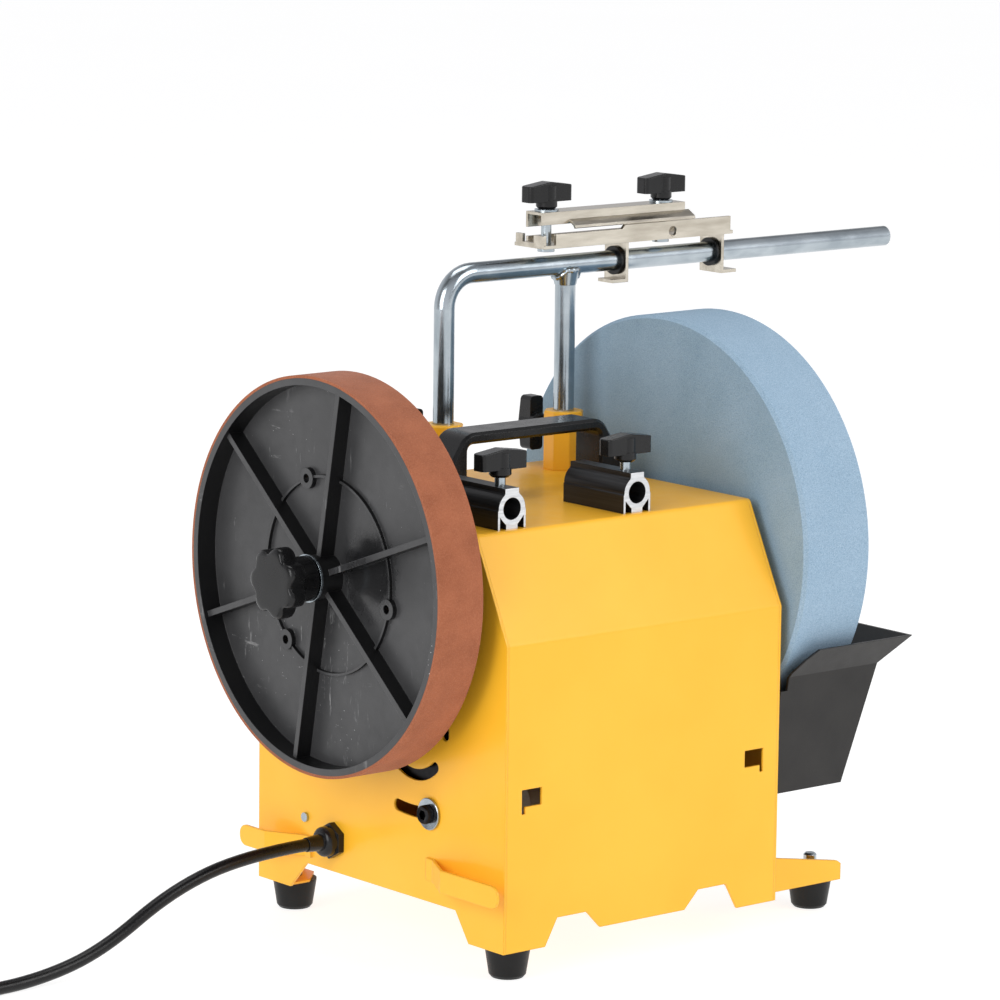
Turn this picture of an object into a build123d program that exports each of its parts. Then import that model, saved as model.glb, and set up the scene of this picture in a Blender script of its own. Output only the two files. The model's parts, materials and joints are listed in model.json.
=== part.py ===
from build123d import *
import os
from math import atan2, cos, degrees, pi, radians, sin, sqrt, tan

# Wet grinding sharpener. Millimetres, +Z up.
# The parts are drawn from the housing: x = 0 at its mid width, y = 0 at its front wall (+Y to the
# back), z = 0 at its lower edge. On export everything moves so that the origin is on the floor,
# under the middle of the machine without its lead.

# Housing
HOUSING_W, HOUSING_D, HOUSING_H = 200.0, 220.5, 226.9
SLOPE_Z, SLOPE_Y = 170.0, 28.0  # the front wall leans back above SLOPE_Z
BACK_SLOPE_Z, TOP_BACK_Y = 190.0, 200.0
SHEET = 1.5
BEND_R = 3.0
LEG_SIDE, LEG_FRONT = 30.0, 29.5  # leg widths on the sides and on the front
ARCH_H, SKIRT_Z = 16.6, 5.0
BASE_Z, SHELF = 18.0, 27.0  # underside of the base plate, side of a foot shelf
FOOT_H, FOOT_TOP_R, FOOT_BASE_R = 17.4, 12.5, 9.7
HALF_W = HOUSING_W / 2
PANEL_IN = HALF_W - SHEET
SIDE_FOOT_X, FOOT_FRONT_Y = -85.0, 14.5
FOOT_BACK_Y = HOUSING_D - FOOT_FRONT_Y
OUT_FOOT_X, OUT_FOOT_Y = 153.0, 28.3

SWITCH_X, SWITCH_Z = (-62.0, -38.0), (120.0, 148.0)  # cut-out in the back wall
ROCKER_Y, PIN_HOLE_R = HOUSING_D - 2, 1.55

# Outriggers under the trough
OUT_END_X, OUT_FLANGE_Y, OUT_SHEET, OUT_DEPTH = 163.5, 13.5, 2.0, 29.5
OUT_ROOT_H, OUT_TIP_H = 22.0, 10.5

# Strips for winding up the lead: root and tip along Y, low and high edge
FRONT_HOOK, REAR_HOOK = (60.0, -10.5, 29.0, 41.5), (176.0, 220.7, 21.0, 33.0)

# Grinding spindle
SHAFT_Y, SHAFT_Z, SHAFT_R = 113.6, 195.7, 6.0
STONE_R, STONE_X0, STONE_X1, STONE_CHAMFER = 125.0, 107.1, 157.5, 2.0
WHEEL_R, WHEEL_X0, WHEEL_X1, LEATHER = 111.0, -144.8, -114.8, 1.6
WEB_X, WEB_T, RIM_T = -132.5, 4.0, 3.8
RIB_T, RIB_H, RING_RIB_R, RING_RIB_H, BOSS_R, BOSS_H = 3.4, 9.5, 54.7, 2.2, 5.8, 3.0
HUB_R, HUB_NOSE_R, HUB_NOSE_X, WHEEL_WASHER_X, WHEEL_WASHER_R = 16.0, 12.4, -147.0, -148.4, 13.3
KNOB_FACE_X, KNOB_R, KNOB_LOBES = -173.3, 20.0, 7
RUNNING = 0.05  # radial clearance of the shafts

# Motor, hung on a pivot rod so that its roller presses on the inside of the honing wheel
MOTOR_Y, MOTOR_Z, MOTOR_R = 78.3, 112.7, 41.5
PIVOT_Y, PIVOT_Z, PIVOT_R = 79.0, 168.0, 5.0
ROLLER_R, MOTOR_SHAFT_R = 7.0, 4.0
ROLLER_GAP = 0.2
TENSION_Y, TENSION_Z, TENSION_SWING = 64.2, 66.5, 16.0
VENT_R, VENT_W = 26.5, 6.4  # curved vents round the motor's axis
MOTOR_SWING = 12.0  # degrees of swing that the bolt and the shaft slot leave free

# Tool support: 12 mm rods, sleeves on the top
ROD_R, BORE_R = 6.0, 6.15
BAR_Y, BAR_Z, BAR_END_X, LEG_LEFT_X, LEG_RIGHT_X = 171.0, 346.3, 338.0, -7.0, 83.0
BEND_RADIUS, LEG_FOOT_Z = 19.0, 150.0
SLEEVE_AF, SLEEVE_TOP_Z = 22.0, 261.2
FLAT_SLEEVE_X = (-71.5, 18.5)
FLAT_SLEEVE_Y0, FLAT_SLEEVE_Y1 = 31.5, 83.0
FLAT_BORE_Z, FLAT_W, NECK_W, NECK_Z = 238.1, 19.5, 9.6, 249.3
LOCK_SCREW_R, LOCK_Y, BACK_LOCK_Z = 3.0, 42.0, 250.5

# Carrying handle
HANDLE_Y0, HANDLE_Y1 = 107.3, 130.7
HANDLE_X0, HANDLE_X1 = -41.5, 58.5
HANDLE_TOP, HANDLE_UNDER, HANDLE_SPLAY = 266.5, 260.0, 19.0

# Planer and knife jig on the bar
JIG_X0, JIG_X1, JIG_Y0, JIG_Y1, JIG_Z0, JIG_Z1 = 56.0, 201.5, 158.0, 185.0, 357.9, 368.4
JIG_SHEET, JIG_BACK_H, JIG_HOLE_X = 2.0, 5.0, 154.0
HOOK_X, HOOK_Y0, HOOK_Y1, HOOK_FOOT_Z = (121.0, 195.8), 161.5, 180.5, 334.2
HOOK_FOOT_L = 10.0
BUSH_R, BUSH_FLANGE_R = 7.5, 8.4
JAW_X0, JAW_X1, JAW_Y0, JAW_Y1, JAW_Z0, JAW_Z1 = 56.0, 165.0, 160.0, 175.0, 369.6, 378.8
STUD_X, STUD_Y = (65.0, 152.7), 167.5
WING_L, WING_W, WING_H, WING_RISE, WING_HUB_R, WING_HUB_H = 31.8, 9.6, 9.2, 2.2, 6.2, 4.3

# Water trough
TROUGH_X0, TROUGH_T = 102.2, 1.8
TROUGH_BOTTOM = (58.0, 160.5, 12.0)  # height, right side, front; the back mirrors the front
TROUGH_FOLD = (128.0, 175.6, 0.0)
TROUGH_RIM = (144.0, 193.0, -10.5)

# Mains lead
CORD_D = 7.2
CORD_R = CORD_D / 2
GLAND_Y, GLAND_Z, GLAND_TIP_X = 150.0, 35.0, -120.0
FLOOR_Z = -FOOT_H
CORD_ROUTE = [
    (-120.0, 150.0, 35.0),
    (-163.0, 150.0, 35.0),
    (-212.0, 151.0, 22.5),
    (-258.0, 152.0, -4.5),
    (-300.0, 151.5, -13.8),
    (-345.0, 149.3, -13.8),
    (-390.0, 147.8, -13.8),
]
COIL_X, COIL_Y, COIL_R = -390.0, 198.0, 43.0
COIL_TURNS, COIL_WIDE, COIL_HIGH = 5.5, 3, 3  # turns wound, and diameters across and up
PLUG_X0, PLUG_Y, TAIL_Z = -340.0, 237.4, 0.6  # the coil's last turn leads straight into the plug
PLUG_R, PLUG_L, PIN_R, PIN_L, PIN_SPACING = 18.0, 30.0, 2.4, 19.0, 19.0

# The origin: middle of the machine without its lead, on the floor
ORIGIN_X = (KNOB_FACE_X + BAR_END_X) / 2
ORIGIN_Y = (SHAFT_Y - STONE_R + (2 * SHAFT_Y - TROUGH_RIM[2])) / 2
ORIGIN_Z = -FOOT_H

parts = {}


def block(x0, x1, y0, y1, z0, z1):
    size = (x1 - x0, y1 - y0, z1 - z0)
    return Pos((x0 + x1) / 2, (y0 + y1) / 2, (z0 + z1) / 2) * Box(*size)


def rod_x(x0, x1, y, z, r):
    return Pos((x0 + x1) / 2, y, z) * Rot(0, 90, 0) * Cylinder(r, x1 - x0)


def rod_y(x, y0, y1, z, r):
    return Pos(x, (y0 + y1) / 2, z) * Rot(90, 0, 0) * Cylinder(r, y1 - y0)


def rod_z(x, y, z0, z1, r):
    return Pos(x, y, (z0 + z1) / 2) * Cylinder(r, z1 - z0)


def tube_x(x0, x1, y, z, r_out, r_in):
    return rod_x(x0, x1, y, z, r_out) - rod_x(x0 - 1, x1 + 1, y, z, r_in)


def slab_x(face, x0, x1):
    """Extrudes a face drawn in (y, z) from x0 to x1."""
    return extrude(Plane.YZ.offset(x0) * face, amount=x1 - x0, dir=(1, 0, 0))


def slab_y(face, y0, y1):
    """Extrudes a face drawn in (x, z) from y0 to y1."""
    plane = Plane(origin=(0, y1, 0), x_dir=(1, 0, 0), z_dir=(0, -1, 0))
    return extrude(plane * face, amount=y1 - y0, dir=(0, -1, 0))


def outline(*points):
    return Polygon(*points, align=None)


def arc_slot(cy, cz, radius, width, start, swing):
    """A slot face along an arc about (cy, cz), angles in degrees."""
    arc = CenterArc((0, 0, 0), radius, start, swing)
    return Pos(cy, cz) * SlotArc(arc, width)


def cone_x(x0, r0, x1, r1, y, z):
    """A turned cone along X: radius r0 at x0, r1 at x1."""
    profile = outline((x0, 0), (x0, r0), (x1, r1), (x1, 0))
    return Pos(0, y, z) * revolve(profile, Axis.X)


# ---------------------------------------------------------------- housing


def housing_outline():
    """Side view of the housing, (y, z), with its bends rounded."""
    corners = [
        (0, 0),
        (0, SLOPE_Z),
        (SLOPE_Y, HOUSING_H),
        (TOP_BACK_Y, HOUSING_H),
        (HOUSING_D, BACK_SLOPE_Z),
        (HOUSING_D, 0),
    ]
    face = outline(*corners)
    bends = [v for v in face.vertices() if v.Y > 1]
    return fillet(bends, BEND_R)


def wrap_cover():
    outer = housing_outline()
    inner = offset(outer, -SHEET)
    shell = slab_x(outer - inner, -PANEL_IN, PANEL_IN)
    shell -= block(-PANEL_IN - 1, PANEL_IN + 1, SHEET, HOUSING_D - SHEET, -1, SHEET + 1)
    leg = HALF_W - LEG_FRONT
    arch = [(leg, -1), (leg, 0), (62, 15.2), (41, 15.2), (31, SKIRT_Z)]
    skirt = outline(*arch, *[(-x, z) for x, z in reversed(arch)])
    shell -= slab_y(skirt, -1, HOUSING_D + 1)
    for side in (-1, 1):
        corners = [(74.3, 89.9), (88.3, 89.9), (88.3, 76.4), (85.8, 76.4), (85.8, 80.3), (74.3, 80.3)]
        shell -= slab_y(outline(*[(side * x, z) for x, z in corners]), -1, SHEET + 1)
    for x in FLAT_SLEEVE_X:
        for y in (45.0, 70.0):
            shell -= rod_z(x, y, HOUSING_H - 3, HOUSING_H + 1, 2.2)
    for x in (LEG_LEFT_X, LEG_RIGHT_X):
        shell -= rod_z(x, BAR_Y, HOUSING_H - 3, HOUSING_H + 1, ROD_R + 0.6)
    shell -= block(*SWITCH_X, HOUSING_D - 3, HOUSING_D + 1, *SWITCH_Z)
    for x, y in handle_screw_places():
        shell -= rod_z(x, y, HOUSING_H - 3, HOUSING_H + 1, 2.2)
    return shell


def side_outline():
    """Side panel, (y, z): the housing outline with an arch between its two legs."""
    arch = outline(
        (LEG_SIDE, -1), (LEG_SIDE, 0), (41.6, ARCH_H), (175.3, ARCH_H),
        (HOUSING_D - LEG_SIDE, 0), (HOUSING_D - LEG_SIDE, -1),
    )
    return housing_outline() - arch


def cord_hook(root_y, tip_y, z0, z1):
    """A joggled strip welded to the left panel, for winding the lead on."""
    away, run, pad = 12.0, 22.0, 6.0
    ahead = 1 if tip_y > root_y else -1
    inner = [(-HALF_W, root_y - ahead * pad), (-HALF_W, root_y), (-HALF_W - away, root_y + ahead * run),
             (-HALF_W - away, tip_y)]
    outer = [(x - SHEET, y - ahead * 0.6 * (0 < i < 3)) for i, (x, y) in enumerate(inner)]
    face = outline(*inner, *reversed(outer))
    strip = extrude(Plane.XY.offset(z0) * face, amount=z1 - z0, dir=(0, 0, 1))
    tips = [e for e in strip.edges().filter_by(Axis.X) if abs(e.center().Y - tip_y) < 0.1]
    return fillet(tips, (z1 - z0) / 2 - 0.5)


def left_side_panel():
    panel = slab_x(side_outline(), -HALF_W, -PANEL_IN)
    x0, x1 = -HALF_W - 1, -PANEL_IN + 1
    panel -= rod_x(x0, x1, SHAFT_Y, SHAFT_Z, 11.0)
    panel -= rod_x(x0, x1, GLAND_Y, GLAND_Z, 6.3)
    panel -= rod_x(x0, x1, PIVOT_Y, PIVOT_Z, PIVOT_R + 0.02)
    spans = ((228, 84), (25, 65), (115, 65))
    vents = [arc_slot(MOTOR_Y, MOTOR_Z, VENT_R, VENT_W, start, swing) for start, swing in spans]
    reach = sqrt((TENSION_Y - PIVOT_Y) ** 2 + (TENSION_Z - PIVOT_Z) ** 2)
    start = degrees(atan2(TENSION_Z - PIVOT_Z, TENSION_Y - PIVOT_Y))
    vents.append(arc_slot(PIVOT_Y, PIVOT_Z, reach, 6.8, start, TENSION_SWING))
    drop = PIVOT_Z - MOTOR_Z
    shaft_start = degrees(atan2(MOTOR_Z - PIVOT_Z, MOTOR_Y - PIVOT_Y))
    vents.append(arc_slot(PIVOT_Y, PIVOT_Z, drop, 2 * MOTOR_SHAFT_R + 3, shaft_start, MOTOR_SWING + 1))
    for face in vents:
        panel -= slab_x(face, x0, x1)
    panel += cord_hook(*FRONT_HOOK)
    panel += cord_hook(*REAR_HOOK)
    return panel


def right_side_panel():
    panel = slab_x(side_outline(), PANEL_IN, HALF_W)
    panel -= rod_x(PANEL_IN - 1, HALF_W + 1, SHAFT_Y, SHAFT_Z, 11.0)
    panel -= rod_x(PANEL_IN - 1, HALF_W + 1, PIVOT_Y, PIVOT_Z, PIVOT_R + 0.02)
    for y in (40.0, 2 * SHAFT_Y - 40.0):  # welded strips that guide the trough's inner wall
        panel += block(HALF_W, HALF_W + 1.7, y - 8, y + 8, 70, 112)
    return panel


def base_plate():
    """Slotted plate between the four walls, and the shelf of each left foot."""
    y0, y1 = SHEET, HOUSING_D - SHEET
    plate = block(-PANEL_IN, PANEL_IN, y0, y1, BASE_Z, BASE_Z + SHEET)
    for i in range(5):
        plate -= block(-50, 50, 55 + 25 * i, 61 + 25 * i, BASE_Z - 1, BASE_Z + SHEET + 1)
    shelf_x, shelf_y, cut = -PANEL_IN + SHELF, SHEET + SHELF, SHELF / 2
    corners = [(-PANEL_IN, SHEET), (shelf_x, SHEET), (shelf_x, shelf_y - cut), (shelf_x - cut, shelf_y)]
    shelf = extrude(outline(*corners, (-PANEL_IN, shelf_y)), SHEET)
    shelf -= rod_z(SIDE_FOOT_X, FOOT_FRONT_Y, -1, SHEET + 1, 2.6)
    return [plate, shelf, mirror_y(shelf)]


def outrigger():
    """Front outrigger: tapered flange, foot shelf and a flange against the right panel."""
    x0 = HALF_W
    flange = outline((x0, 0), (x0, OUT_ROOT_H), (OUT_END_X - 3, OUT_TIP_H + 1), (OUT_END_X, OUT_TIP_H - 1),
                     (OUT_END_X, 2), (OUT_END_X - 2, 0))
    arm = slab_y(flange, OUT_FLANGE_Y, OUT_FLANGE_Y + OUT_SHEET)
    back = OUT_FLANGE_Y + OUT_DEPTH
    arm += block(x0, OUT_END_X, OUT_FLANGE_Y, back, 0, OUT_SHEET)
    arm += block(x0, x0 + OUT_SHEET, OUT_FLANGE_Y, back, 0, 16)
    arm -= rod_z(OUT_FOOT_X, OUT_FOOT_Y, -1, OUT_SHEET + 1, 2.6)
    arm -= block(x0 - 1, x0 + 2, OUT_FLANGE_Y - 1, OUT_FLANGE_Y + OUT_SHEET + 0.5, 18.5, OUT_ROOT_H + 1)
    return arm


def mirror_y(shape):
    """Mirrors front to back about the middle of the housing."""
    return mirror(shape, Plane(origin=(0, HOUSING_D / 2, 0), z_dir=(0, 1, 0)))


def foot(x, y):
    half = [(0, 0), (FOOT_TOP_R, 0), (FOOT_TOP_R, -1.2), (FOOT_BASE_R + 0.6, -FOOT_H + 2.2),
            (FOOT_BASE_R - 0.8, -FOOT_H + 0.5), (FOOT_BASE_R - 3, -FOOT_H), (0, -FOOT_H)]
    body = revolve(Plane.XZ * outline(*half), Axis.Z)
    body -= rod_z(0, 0, -FOOT_H - 1, -FOOT_H + 6, 5.2)
    body -= rod_z(0, 0, -FOOT_H, 1, 2.6)
    return Pos(x, y, 0) * body


def foot_screws():
    """Screw up through each foot, with its domed nut on the sheet above."""
    group = []
    nut = Pos(0, 0, OUT_SHEET + 4) * extrude(RegularPolygon(4.6, 6), 4, both=True)
    dome = Pos(0, 0, OUT_SHEET + 8) * (Cylinder(3.8, 8) & Sphere(4.8))
    nut = nut + Pos(0, 0, 0.6) * dome
    for (x, y), seat in zip(foot_places(), (SHEET, SHEET, OUT_SHEET, OUT_SHEET)):
        screw = rod_z(x, y, -FOOT_H + 6, 9, 2.5) + rod_z(x, y, -FOOT_H + 3, -FOOT_H + 6, 4.4)
        group.append(screw + Pos(x, y, seat - OUT_SHEET) * nut)
    return group


def foot_places():
    return [(SIDE_FOOT_X, FOOT_FRONT_Y), (SIDE_FOOT_X, FOOT_BACK_Y),
            (OUT_FOOT_X, OUT_FOOT_Y), (OUT_FOOT_X, HOUSING_D - OUT_FOOT_Y)]


def switch_body():
    y = HOUSING_D
    body = block(SWITCH_X[0] + 0.2, SWITCH_X[1] - 0.2, y - 22, y, SWITCH_Z[0] + 0.2, SWITCH_Z[1] - 0.2)
    body += block(SWITCH_X[0] - 2, SWITCH_X[1] + 2, y, y + 2, SWITCH_Z[0] - 2, SWITCH_Z[1] + 2)
    body -= block(SWITCH_X[0] + 3, SWITCH_X[1] - 3, y - 8, y + 3, SWITCH_Z[0] + 3, SWITCH_Z[1] - 3)
    pivot = rod_x(SWITCH_X[0] + 1.4, SWITCH_X[1] - 1.4, ROCKER_Y, sum(SWITCH_Z) / 2, PIN_HOLE_R)
    return body - pivot


def rocker():
    """Rocker of the switch; its lower half stands out, and it tips on its two trunnions."""
    y, z, half = ROCKER_Y, sum(SWITCH_Z) / 2, 10.0
    face = outline((y - 4, z - 3), (y + 4.6, z - half), (y + 3.0, z), (y + 1.8, z + half), (y - 4, z + 3))
    trunnions = rod_x(SWITCH_X[0] + 1.6, SWITCH_X[1] - 1.6, y, z, PIN_HOLE_R - RUNNING)
    return slab_x(face, SWITCH_X[0] + 3.5, SWITCH_X[1] - 3.5) + trunnions


def handle_screw_places():
    mid_y = (HANDLE_Y0 + HANDLE_Y1) / 2
    return [(HANDLE_X0 - 8, mid_y), (HANDLE_X1 + 8, mid_y)]


def carry_handle():
    z0, splay = HOUSING_H, HANDLE_SPLAY
    outer = outline((HANDLE_X0 - splay, z0), (HANDLE_X0 - splay + 3, z0 + 15), (HANDLE_X0, HANDLE_TOP),
                    (HANDLE_X1, HANDLE_TOP), (HANDLE_X1 + splay - 3, z0 + 15), (HANDLE_X1 + splay, z0))
    outer = fillet(outer.vertices().sort_by(Axis.Y)[-2:], 12.0)
    opening = outline((HANDLE_X0 + 1.5, z0 - 1), (HANDLE_X0 + 1.5, HANDLE_UNDER),
                      (HANDLE_X1 - 1.5, HANDLE_UNDER), (HANDLE_X1 - 1.5, z0 - 1))
    opening = fillet(opening.vertices().sort_by(Axis.Y)[-2:], 4.0)
    grip = slab_y(outer - opening, HANDLE_Y0, HANDLE_Y1)
    rim = [e for e in grip.edges() if e.center().Z > z0 + 1
           and (abs(e.center().Y - HANDLE_Y0) < 0.1 or abs(e.center().Y - HANDLE_Y1) < 0.1)]
    grip = chamfer(rim, 1.6)
    for x, y in handle_screw_places():
        grip -= rod_z(x, y, z0 - 1, z0 + 12, 2.0)
    return grip


def flat_sleeve(x):
    """Extruded sleeve that takes a support rod from the front."""
    z0, wall, web = HOUSING_H, 1.4, 4.0
    half = FLAT_W / 2
    low = z0 + 4.6
    body = Pos(x, FLAT_BORE_Z) * Circle(9.3)
    body += outline((x - half, z0), (x - half, FLAT_BORE_Z - 1), (x - NECK_W / 2, NECK_Z - 2.6),
                    (x - NECK_W / 2, NECK_Z), (x + NECK_W / 2, NECK_Z), (x + NECK_W / 2, NECK_Z - 2.6),
                    (x + half, FLAT_BORE_Z - 1), (x + half, z0))
    body -= Pos(x, FLAT_BORE_Z) * Circle(BORE_R)
    for side in (-1, 1):
        inner = half - wall
        body -= outline((x + side * web, z0 - 1), (x + side * web, z0 + 2.4), (x + side * inner, low + 2.4),
                        (x + side * inner, z0 - 1))
    sleeve = slab_y(body, FLAT_SLEEVE_Y0, FLAT_SLEEVE_Y1)
    sleeve -= rod_z(x, LOCK_Y, FLAT_BORE_Z, NECK_Z + 1, LOCK_SCREW_R + 0.05)
    return sleeve


def upright_sleeve(x):
    """Octagonal sleeve for a leg of the support, clamped from behind."""
    octagon = RegularPolygon(SLEEVE_AF / 2, 8, major_radius=False, rotation=22.5)
    sleeve = extrude(Pos(x, BAR_Y, HOUSING_H) * octagon, SLEEVE_TOP_Z - HOUSING_H)
    top = sleeve.edges().group_by(Axis.Z)[-1]
    sleeve = chamfer(top, 0.8)
    sleeve -= rod_z(x, BAR_Y, HOUSING_H - 1, SLEEVE_TOP_Z + 1, BORE_R)
    return sleeve - rod_y(x, BAR_Y + 2, BAR_Y + SLEEVE_AF, BACK_LOCK_Z, LOCK_SCREW_R + 0.05)


def wing_knob():
    """Moulded wing knob, turning axis on Z, hub underside at z = 0: a bar with a low ridged top."""
    half, top = WING_L / 2, WING_HUB_H + WING_H
    side = outline((-half, WING_HUB_H), (-half, top), (0, top + WING_RISE), (half, top), (half, WING_HUB_H))
    side = fillet(side.vertices().sort_by(Axis.Y)[-1], 5.0)
    wing = slab_y(side, -WING_W / 2, WING_W / 2)
    wing = fillet(wing.edges().filter_by(Axis.Z), 2.4)
    wing = fillet([e for e in wing.edges() if e.center().Z > top - 0.05], 0.7)
    wing += Pos(0, 0, WING_HUB_H + WING_H / 2) * Cylinder(WING_W / 2 + 0.9, WING_H)
    hub = Cylinder(WING_HUB_R, WING_HUB_H + 1, align=(Align.CENTER, Align.CENTER, Align.MIN))
    wing += chamfer(hub.edges().group_by(Axis.Z)[0], 1.4)
    bore = Cylinder(LOCK_SCREW_R + RUNNING, 11, align=(Align.CENTER, Align.CENTER, Align.MIN))
    return wing - Pos(0, 0, -1) * bore


def lock_screw(length):
    """Clamping screw on Z: tip at z = 0, upper end moulded into the knob."""
    screw = Cylinder(LOCK_SCREW_R, length, align=(Align.CENTER, Align.CENTER, Align.MIN))
    return chamfer(screw.edges().group_by(Axis.Z)[0], 0.6)


# ---------------------------------------------------------------- grinding spindle


def main_shaft():
    shaft = rod_x(HUB_NOSE_X + 1, 174.0, SHAFT_Y, SHAFT_Z, SHAFT_R)
    shaft = chamfer(shaft.edges().filter_by(GeomType.CIRCLE), 0.8)
    return shaft - rod_x(HUB_NOSE_X, -124.0, SHAFT_Y, SHAFT_Z, 4.05)


def grindstone():
    stone = rod_x(STONE_X0, STONE_X1, SHAFT_Y, SHAFT_Z, STONE_R)
    stone = chamfer(stone.edges().filter_by(GeomType.CIRCLE), STONE_CHAMFER)
    return stone - rod_x(STONE_X0 - 1, STONE_X1 + 1, SHAFT_Y, SHAFT_Z, SHAFT_R + 0.02)


def shaft_hardware():
    """Spacer, stone flanges, stone nut and the honing wheel's washer, all on the shaft."""
    bore = SHAFT_R + 0.02
    group = [
        tube_x(-109.8, -102.3, SHAFT_Y, SHAFT_Z, 10.0, bore),
        tube_x(102.3, STONE_X0, SHAFT_Y, SHAFT_Z, 22.0, bore),
        tube_x(STONE_X1, 160.5, SHAFT_Y, SHAFT_Z, 22.0, bore),
    ]
    nut = Pos(164.5, SHAFT_Y, SHAFT_Z) * Rot(0, 90, 0) * extrude(RegularPolygon(11.0, 6), 4, both=True)
    group.append(nut - rod_x(150, 180, SHAFT_Y, SHAFT_Z, bore))
    group.append(tube_x(WHEEL_WASHER_X, HUB_NOSE_X, SHAFT_Y, SHAFT_Z, WHEEL_WASHER_R, 4.1))
    return group


def honing_disc():
    """Moulded wheel: rim, web with ribs on its outer side, and hub."""
    rim_r = WHEEL_R - LEATHER
    disc = tube_x(WHEEL_X0, WHEEL_X1, SHAFT_Y, SHAFT_Z, rim_r, rim_r - RIM_T)
    disc += rod_x(WEB_X, WEB_X + WEB_T, SHAFT_Y, SHAFT_Z, rim_r - RIM_T + 1)
    disc += rod_x(WEB_X, -110.0, SHAFT_Y, SHAFT_Z, HUB_R)
    disc += rod_x(HUB_NOSE_X, WEB_X, SHAFT_Y, SHAFT_Z, HUB_NOSE_R)
    for angle in (30, 90, 150):
        rib = Box(RIB_H, RIB_T, 2 * (rim_r - RIM_T + 1))
        disc += Pos(WEB_X - RIB_H / 2, SHAFT_Y, SHAFT_Z) * Rot(angle - 20, 0, 0) * rib
    ring_rib = tube_x(WEB_X - RING_RIB_H, WEB_X + 1, SHAFT_Y, SHAFT_Z, RING_RIB_R + 0.8, RING_RIB_R - 0.8)
    disc += ring_rib
    for angle in (71, 191, 311):
        y = SHAFT_Y + RING_RIB_R * cos(radians(angle))
        z = SHAFT_Z + RING_RIB_R * sin(radians(angle))
        disc += rod_x(WEB_X - BOSS_H, WEB_X + 1, y, z, BOSS_R)
        disc -= rod_x(WEB_X - BOSS_H - 1, WEB_X + WEB_T + 1, y, z, 2.5)
    disc -= rod_x(-160, -100, SHAFT_Y, SHAFT_Z, SHAFT_R + 0.02)
    return disc


def leather_band():
    return tube_x(WHEEL_X0, WHEEL_X1, SHAFT_Y, SHAFT_Z, WHEEL_R, WHEEL_R - LEATHER)


def drive_ring():
    """Rubber lining inside the wheel's inner side, which the motor's roller turns."""
    reach = sqrt((SHAFT_Y - MOTOR_Y) ** 2 + (SHAFT_Z - MOTOR_Z) ** 2)
    inside = reach + ROLLER_R + ROLLER_GAP
    return tube_x(WEB_X + WEB_T, WHEEL_X1, SHAFT_Y, SHAFT_Z, WHEEL_R - LEATHER - RIM_T, inside)


def star_knob():
    """Seven-lobed hand knob with a domed cap, on the end of the spindle."""
    lobes = Circle(KNOB_R - 3.5)
    for i in range(KNOB_LOBES):
        angle = 360 / KNOB_LOBES * i
        lobes += Pos(*[(KNOB_R - 4.5) * f(radians(angle)) for f in (cos, sin)]) * Circle(4.5)
    for i in range(KNOB_LOBES):
        angle = 360 / KNOB_LOBES * (i + 0.5)
        lobes -= Pos(*[(KNOB_R - 0.6) * f(radians(angle)) for f in (cos, sin)]) * Circle(4.2)
    dome = Cylinder(KNOB_R + 0.4, 15)
    dome = fillet(dome.edges().group_by(Axis.Z)[-1], 3)
    grip = extrude(lobes, 15) & Pos(0, 0, 7.5) * dome
    seat = KNOB_FACE_X + 16.2
    stem = WHEEL_WASHER_X - 0.2 - seat
    knob = grip + Pos(0, 0, 15) * Cylinder(11.5, 2.4) + Pos(0, 0, (1 - stem) / 2) * Cylinder(11, stem + 1)
    knob -= Cylinder(4.0, 24)
    return Pos(seat, SHAFT_Y, SHAFT_Z) * Rot(0, -90, 0) * knob


def knob_stud():
    return rod_x(KNOB_FACE_X + 4.5, -127.0, SHAFT_Y, SHAFT_Z, 4.0)


# ---------------------------------------------------------------- motor


def motor_stator():
    can = tube_x(-88.0, 5.0, MOTOR_Y, MOTOR_Z, MOTOR_R, 25.6)
    fin = Pos(0, MOTOR_R, 0) * Box(70, 4, 2)
    for i in range(12):
        can += Pos(-41.5, MOTOR_Y, MOTOR_Z) * Rot(30 * i, 0, 0) * fin
    return can


def motor_shields():
    bore = MOTOR_SHAFT_R + RUNNING
    return [tube_x(-93.5, -88.0, MOTOR_Y, MOTOR_Z, MOTOR_R, bore),
            tube_x(5.0, 12.0, MOTOR_Y, MOTOR_Z, MOTOR_R, bore)]


def rotor():
    core = rod_x(-76.0, -8.0, MOTOR_Y, MOTOR_Z, 25.0)
    return core + rod_x(-123.4, 18.0, MOTOR_Y, MOTOR_Z, MOTOR_SHAFT_R)


def swing_plate():
    """Cradle plates at both ends of the motor, joined by the tube on the pivot rod."""
    cradle = rod_x(-96.5, 15.0, PIVOT_Y, PIVOT_Z, 8.0)
    for x0, x1, low in ((-96.5, -93.5, True), (12.0, 15.0, False)):
        hull = [Pos(PIVOT_Y, PIVOT_Z) * Circle(9.0), Pos(MOTOR_Y, MOTOR_Z) * Circle(30.0)]
        if low:
            hull.append(Pos(TENSION_Y, TENSION_Z) * Circle(9.0))
        cradle += slab_x(make_hull([e for f in hull for e in f.edges()]), x0, x1)
    cradle -= rod_x(-120, 30, PIVOT_Y, PIVOT_Z, PIVOT_R + RUNNING)
    cradle -= rod_x(-120, 30, MOTOR_Y, MOTOR_Z, 10.0)
    return cradle - rod_x(-120, -90, TENSION_Y, TENSION_Z, 3.02)


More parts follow.
